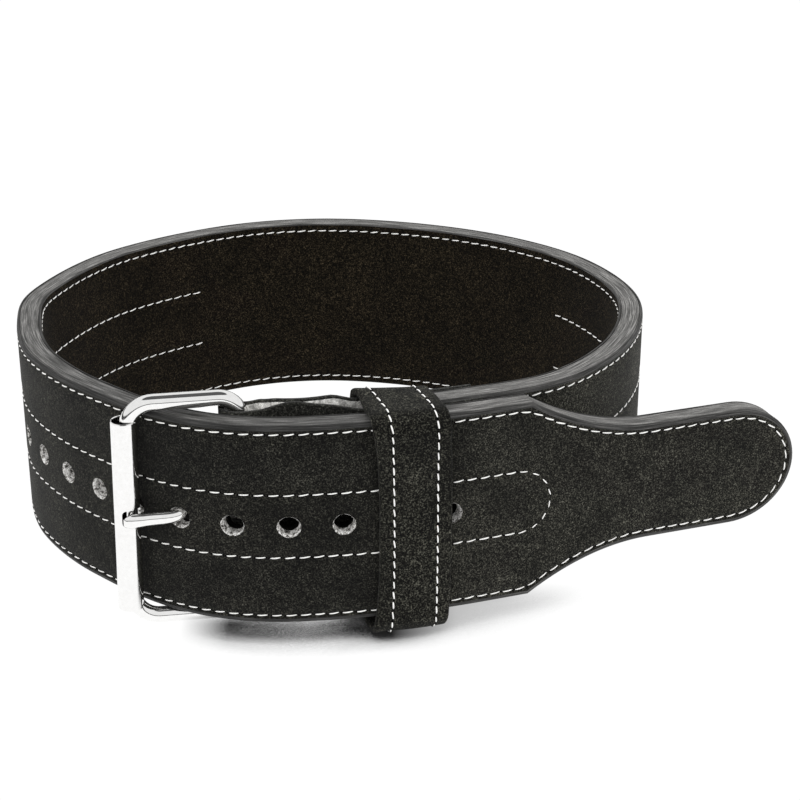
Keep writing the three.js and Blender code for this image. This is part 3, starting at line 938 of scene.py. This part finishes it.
def makeProng():
    eye, shaft = prongPoints()
    points = eye + shaft
    line = threadLine(points, 8)
    share = np.linspace(0, 1, len(line))
    eyeShare, holeShare = (len(eye) - 1) / (len(points) - 1), (len(eye) + 2) / (len(points) - 1)
    u = np.clip((share - eyeShare) / (holeShare - eyeShare), 0, 1)
    past = eased(u)
    onward = np.clip((share - holeShare) / (1 - holeShare), 0, 1)
    thick = buckle["eyeThick"] / 2 * (1 - past) + buckle["prong"] * past
    wide = buckle["prong"] + (buckle["prongTip"] - buckle["prong"]) * onward
    flatFrom, flatOver = buckle["tipFrom"]
    near = np.clip((onward - flatFrom) / flatOver, 0, 1)
    thick = thick * (1 - buckle["tipFlat"] * near)
    ends = np.ones(len(line))
    for k, size in enumerate(buckle["ends"]):
        ends[k] = size
        ends[-1 - k] = size
    _, out = waysOf(line)
    level = middle + buckle["prongRise"] * (past - onward) - buckle["prongDrop"] * onward
    centres = np.concatenate([line, level[:, None]], 1)
    up = np.concatenate([out, np.zeros((len(line), 1))], 1)
    across = np.tile(np.array([0.0, 0.0, 1.0]), (len(line), 1))
    bm = tube(centres, across, up, wide * ends, thick * ends, 20)
    newPiece(bm, "buckleProng", [bright], ["prong"], sharp=60)


makeRod()
makeRoller()
makeProng()
print("buckle made")

chape = {
    "thickness": 3.0,
    "width": 102.6,
    "foldInset": 1.0,
    "foldLoose": 3.0,
    "foldTurn": 1.7,  # radians to either side
    "flap": 48.0,
    "straight": 1.0,
    "pinchBack": (33.0, 46.0),
    "pinchSide": -0.2,
    "pinchGap": 0.8,
    "raised": (1.8, 3.6),  # its outer and inner flaps stand above the strap's edge beside the pinch
    "widens": (9, 9),  # from this distance from the heel bar, and over this length; so the next three
    "lifts": (4, 7),
    "settles": (42, 14),
    "meets": (25, 7),  # here the outer flap hides the inner one
    "rounding": 1.1,
    "slotAlong": 25.2,
    "slotHigh": 8.5,
}


def makeChape():
    thick = chape["thickness"]
    flapSide = strap["thickness"] / 2 + buckle["fitGap"] + thick / 2
    layer = thick / 2 + chape["pinchGap"] / 2
    start = waistLength + strap["buckleEnd"]
    flap = np.linspace(start - chape["straight"], start + chape["flap"], 7)
    outer = list(besideWaist(flap, np.full(7, flapSide)))
    inner = list(besideWaist(flap, np.full(7, -flapSide)))[::-1]
    pinch = {
        side: [besideWaist(start - back, chape["pinchSide"] + side * layer) for back in chape["pinchBack"]]
        for side in (-1, 1)
    }
    facing = heel - besideWaist(start, 0.0)
    base = math.atan2(facing[1], facing[0])
    radius = buckle["rod"] + buckle["fitGap"] + thick / 2
    ahead = chape["foldLoose"] * facing / np.linalg.norm(facing)
    fold = [heel + radius * np.array([math.cos(base - t), math.sin(base - t)]) + ahead * max(0, math.cos(t))
            for t in np.linspace(chape["foldTurn"], -chape["foldTurn"], 9)]
    line = threadLine(inner + pinch[-1] + fold + pinch[1][::-1] + outer, 12)
    _, out = waysOf(line)
    away = np.linalg.norm(line - heel, axis=1)
    spans = (chape["widens"], chape["lifts"], chape["settles"])
    u, near, far = [np.clip((away - at) / over, 0, 1) for at, over in spans]
    half = chape["width"] / 2 - chape["foldInset"] * (1 - eased(u))
    r, t = chape["rounding"], thick / 2
    bump = eased(near) * (1 - eased(far))
    low, high = chape["raised"]
    inside = np.arange(len(line)) < len(line) / 2
    at, over = chape["meets"]
    meeting = (high - low - 0.1) * np.exp(-(((away - at) / over) ** 2))
    raised = np.where(inside, low * (1 - near) + high * bump, (low + meeting) * (1 - far))
    section = []  # side, inset from the edge, depth: one corner after another
    for side, face, begin in ((1, 1, 0), (1, -1, 1), (-1, -1, 2), (-1, 1, 3)):
        for turn in np.linspace(0, math.pi / 2, 5):
            a = begin * math.pi / 2 + turn
            section.append((side, r - r * abs(math.sin(a)), face * (t - r) + r * math.cos(a)))
    rows = []
    for side, inset, depth in section + section[:1]:
        h = side * (half - inset)
        rows.append(np.concatenate([line + out * depth, (middle + h + raised)[:, None]], 1))
    places = np.stack(rows, 1)
    girths = runningLength(places[5])
    bm = rolledSheet(places, runningLength(line), girths)
    closeUp(bm)
    strip = bm.loops.layers.uv["strip"]
    for face in bm.faces:  # its flesh side is raw and pale; its tones run past white, painted light against the shade between the flaps
        across = sum(loop[strip].uv.y for loop in face.loops) / len(face.loops) * 100
        face.material_index = int(girths[9] < across < girths[10])
    cutter = bmesh.new()
    bmesh.ops.create_cube(cutter, size=1)
    slot = (chape["slotAlong"], 8 * buckle["rod"], chape["slotHigh"])
    bmesh.ops.scale(cutter, vec=slot, verts=cutter.verts[:])
    rounded = [e for e in cutter.edges if abs((e.verts[0].co - e.verts[1].co).y) > 1]
    bmesh.ops.bevel(cutter, geom=rounded, offset=3, affect="EDGES", segments=6, profile=0.5, material=-1)
    turn = Matrix.Rotation(math.atan2(toRoller[1], toRoller[0]), 4, "Z")
    place = Matrix.Translation(Vector((*heel, middle))) @ turn
    bmesh.ops.transform(cutter, matrix=place, verts=cutter.verts[:])
    bm = cutWith(bm, cutter)
    newPiece(bm, "chapeStrap", [chapeSuede, rawSuedePaintedLight], ["chape"])


keeper = {
    "width": 31.0,
    "thickness": 3.2,
    "height": 117.0,
    "fromEnd": 10.5,
    "corner": 10.0,
    "sag": 3.5,
    "rounding": 1.3,
    "topOut": 2.6,  # its outer face stands off the strap's upper corner
    "skew": (8.0, 1.2),  # how far its inner side lies to the left, at its left and right edges
    "leftRaised": 2.4,  # and how far its left edge rises there
    "flare": 4.2,  # how far its left edge spreads at the top and bottom
    "bulge": 1.6,  # and its right edge in the middle
    "stitchIn": 6.0,
    "stitchPitch": 5.4,
    "stitchLong": 4.5,
    "stitchThick": 0.8,
    "waver": (0.09, 0.35),  # hand-cut suede edges are never quite straight: per mm, and mm
    "waverSeed": 4,  # not 0, which takes the clock
    "tall": 60,  # its shape is shared out over this height above and below its middle
}
keeperAt = waistLength + strap["buckleEnd"] + keeper["fromEnd"]


def keeperPath(perCorner=10, perSide=24):
    # round the outside of the band: height and outwards, with the direction out of the band
    half, r = keeper["height"] / 2, keeper["corner"]
    near = strap["rise"] + strap["thickness"] / 2 + buckle["fitGap"] + keeper["thickness"]
    far = -(strap["thickness"] / 2 + chape["thickness"] + 2 * buckle["fitGap"]) - keeper["thickness"]
    corners = [
        ((half - r, far + r), -math.pi / 2), ((half - r, near - r), 0.0),
        ((r - half, near - r), math.pi / 2), ((r - half, far + r), math.pi),
    ]
    path = []
    for k, (at, start) in enumerate(corners):
        for turn in np.linspace(start, start + math.pi / 2, perCorner + 1):
            c, s = math.cos(turn), math.sin(turn)
            path.append((at[0] + r * c, at[1] + r * s, c, s))
        following = corners[(k + 1) % 4]
        a = path[-1]
        b = (following[0][0] + r * math.cos(following[1]), following[0][1] + r * math.sin(following[1]))
        steps = perSide if abs(a[0] - b[0]) > abs(a[1] - b[1]) else 8
        for share in np.linspace(0, 1, steps + 1)[1:-1]:
            path.append((a[0] + (b[0] - a[0]) * share, a[1] + (b[1] - a[1]) * share, a[2], a[3]))
    return np.array(path + path[:1])


def onKeeper(path, w, depth):  # w across the band along the strap, depth inwards from its outer face
    high, out = path[:, 0] - path[:, 2] * depth, path[:, 1] - path[:, 3] * depth
    tall = np.abs(high) / keeper["tall"]
    leftward, rightward = [np.clip(v / (keeper["width"] / 2), 0, 1) for v in (-w, w)]
    outer = np.clip((out + 2) / 14, 0, 1)
    spread = keeper["flare"] * leftward**2 * tall**2.4 * outer
    bulge = keeper["bulge"] * rightward**2 * (1 - tall**2) * outer
    lift = 0.9 * leftward**3 * tall**3 * outer
    lift = lift + keeper["topOut"] * np.clip((high - 10) / 40, 0, 1) ** 2 * np.clip((out + 4) / 24, 0, 1)
    inner = np.clip((14 - out) / 24, 0, 1)
    left, right = keeper["skew"]
    skew = inner * ((left + right) / 2 - (left - right) * w / keeper["width"])
    plan = besideWaist(keeperAt + w - spread + bulge - skew, out + lift)
    raised = keeper["leftRaised"] * inner * np.clip(0.5 - w / keeper["width"], 0, 1)
    raised = raised * np.clip(high / 50, 0, 1) ** 3
    return np.concatenate([plan, (middle - keeper["sag"] + high + raised)[:, None]], 1)


def makeKeeper():
    path = keeperPath()
    half, thick, r = keeper["width"] / 2, keeper["thickness"], keeper["rounding"]
    section = [(w, 0.0) for w in np.linspace(-half + r, half - r, 13)]
    quarter = np.linspace(0, math.pi / 2, 5)
    section += [(half - r + r * math.sin(t), r - r * math.cos(t)) for t in quarter[1:]]
    section += [(half - 0.4 * t, thick - 0.6 + 0.6 * t) for t in (0.0, 0.5, 1.0)]
    section += [(w, thick) for w in np.linspace(half - 1.5, -half + 1.5, 5)]
    section += [(-half + 0.4 - 0.4 * t, thick - 0.6 * t) for t in (0.0, 0.5, 1.0)]
    section += [(-half + r - r * math.sin(t), r - r * math.cos(t)) for t in np.linspace(math.pi / 2, 0, 5)]
    rows = [onKeeper(path, w, depth) for w, depth in section]
    places = np.stack(rows, 1)
    bm = rolledSheet(places, runningLength(path[:, :2]), runningLength(places[3]))
    closeUp(bm)
    often, far = keeper["waver"]
    noise.seed_set(keeper["waverSeed"])  # so that each run gives the same edges
    for vert in bm.verts:
        vert.co += Vector(noise.noise_vector(vert.co * often)) * far
    newPiece(bm, "keeperLoop", [keeperSuede], ["keeper"])


makeChape()
makeKeeper()
print("chape and keeper made")


def stitchBase(bm, long, thick):
    # one stitch: a bowed bead of thread whose ends dip in, and near-black pits of painted shade where they go into
    # the suede
    made = bmesh.ops.create_uvsphere(bm, u_segments=6, v_segments=7, radius=0.5)["verts"]
    bmesh.ops.rotate(bm, cent=(0, 0, 0), matrix=Matrix.Rotation(math.pi / 2, 3, "Y"), verts=made)
    for vert in made:
        u = vert.co.x / 0.5
        full = math.sqrt(max(0.0, 1 - u * u))
        fuller = max(0.0, 1 - abs(u) ** stitching["blunt"]) ** 0.5 / full if full > 0.05 else 1
        y, z = [v * fuller * thick for v in vert.co.yz]
        vert.co = Vector((u * long / 2, y, z * stitching["flat"]))
        vert.co.z += stitching["bow"] * thick * (1 - 1.5 * u * u)
    bodies = made[:]
    for end in (-1, 1):
        pit = bmesh.ops.create_uvsphere(bm, u_segments=8, v_segments=4, radius=0.5)["verts"]
        for vert in pit:
            x = end * (long / 2 + stitching["pitOut"]) + vert.co.x * stitching["pitLong"]
            vert.co = Vector((x, vert.co.y, vert.co.z * stitching["pitHigh"] + 0.01))
        # the pits take the painted shade finish
        for face in {face for vert in pit for face in vert.link_faces}:
            face.material_index = 1
        bodies += pit
    faces = {face for vert in bodies for face in vert.link_faces}
    edges = {edge for vert in bodies for edge in vert.link_edges}
    return bodies + list(edges) + list(faces)


def sewStitches(name, places, long, thick):
    # places: middle, way along and way out of the face, all in the belt's own frame
    bm = bmesh.new()
    base = stitchBase(bm, long, thick)
    random.seed(len(places))
    for middlePoint, along, out in places:
        verts = vertsOf(bmesh.ops.duplicate(bm, geom=base)["geom"])
        along, out = Vector(along).normalized(), Vector(out).normalized()
        side = out.cross(along)
        turn = Matrix((along, side, out)).transposed().to_4x4()
        slant = Matrix.Rotation(math.radians(random.uniform(*stitching["slant"])), 4, "Z")
        size = Matrix.Diagonal((*[random.uniform(*span) for span in ((0.93, 1.05), (0.9, 1.1), (0.85, 1.1))], 1))
        where = Matrix.Translation(Vector(middlePoint)) @ turn @ slant @ size
        bmesh.ops.transform(bm, matrix=where, verts=verts)
    bmesh.ops.delete(bm, geom=vertsOf(base), context="VERTS")
    newPiece(bm, name, [whiteThread, pitShadeFinish], sharp=180)


def rowPlaces(flatLine, depth, sign):
    # stitches evenly along a line drawn on the flat strap
    line = np.array(flatLine, float)
    at = runningLength(line)
    count = int(at[-1] / stitching["pitch"])
    step = at[-1] / count
    found = []
    for d in (np.arange(count) + 0.5) * step:
        here, ahead = [np.array([np.interp(v, at, line[:, k]) for k in range(2)]) for v in (d - 1, d + 1)]
        spot = onStrap([*((here + ahead) / 2), depth])
        way = onStrap([*ahead, depth]) - onStrap([*here, depth])
        _, _, out = strapSpot((here[0] + ahead[0]) / 2)
        found.append((spot, way, (sign * out[0], sign * out[1], 0)))
    return found


def edgeLine():
    s, h = insetRow(stitching["inset"])
    keep = s > stitching["edgeFrom"]
    lower = np.stack([s[keep], -h[keep]], -1)
    upper = np.stack([s[keep], h[keep]], -1)[::-1]
    line = np.concatenate([lower, upper[1:]])
    at = runningLength(line)
    even = np.arange(0, at[-1], 1.0)
    line = np.stack([np.interp(even, at, line[:, 0]), np.interp(even, at, line[:, 1])], -1)
    window = np.ones(stitching["smoothing"]) / stitching["smoothing"]
    inner = np.stack([np.convolve(line[:, k], window, "valid") for k in range(2)], -1)
    half = stitching["smoothing"] // 2
    return np.concatenate([line[:half], inner, line[-half:]])


def middleLines():
    apex = strapLength - stitching["loopApex"]
    back = strapLength - stitching["loopBack"]
    r = stitching["midRow"]
    bend = [(apex - r + r * math.sin(t), -r * math.cos(t)) for t in np.linspace(0, math.pi, 25)]
    tongueRow = [(back, -r)] + bend + [(back, r)]
    return [tongueRow] + [[(stitching["middleFrom"], y), (stitching["buckleRows"], y)] for y in (-r, r)]


def clearOfHoles(places):
    steps = range(-strap["holesBefore"], strap["holesAfter"] + 1)
    holes = [onStrap([strap["holeInUse"] + k * strap["holePitch"], 0, 0]) for k in steps]
    return [p for p in places if min(np.linalg.norm(p[0] - hole) for hole in holes) > stitching["holeRoom"]]


def makeStrapStitches():
    for name, sign, slot in (("outerStitches", 1, "outer_suede"), ("innerStitches", -1, "inner_suede")):
        depth = sign * (strap["thickness"] / 2 - stitching["press"] + 0.05)
        places = rowPlaces(edgeLine(), depth, sign)
        for line in middleLines():
            places += rowPlaces(line, depth, sign)
        sewStitches(name, clearOfHoles(places), stitching["long"], stitching["thick"])


def makeKeeperStitches():
    path = keeperPath()
    at = runningLength(path[:, :2])
    count = int(at[-1] / keeper["stitchPitch"])
    places = []
    for w in (-keeper["width"] / 2 + keeper["stitchIn"], keeper["width"] / 2 - keeper["stitchIn"]):
        line, beside = onKeeper(path, w, -0.05), onKeeper(path, w, -1.05)
        for d in (np.arange(count) + 0.5) * at[-1] / count:
            spot, ahead, over = [
                np.array([np.interp(v, at, row[:, k]) for k in range(3)])
                for v, row in ((d, line), (d + 1, line), (d, beside))
            ]
            places.append((spot, ahead - spot, over - spot))
    sewStitches("keeperStitches", places, keeper["stitchLong"], keeper["stitchThick"])


makeStrapStitches()
makeKeeperStitches()
print("stitches made")
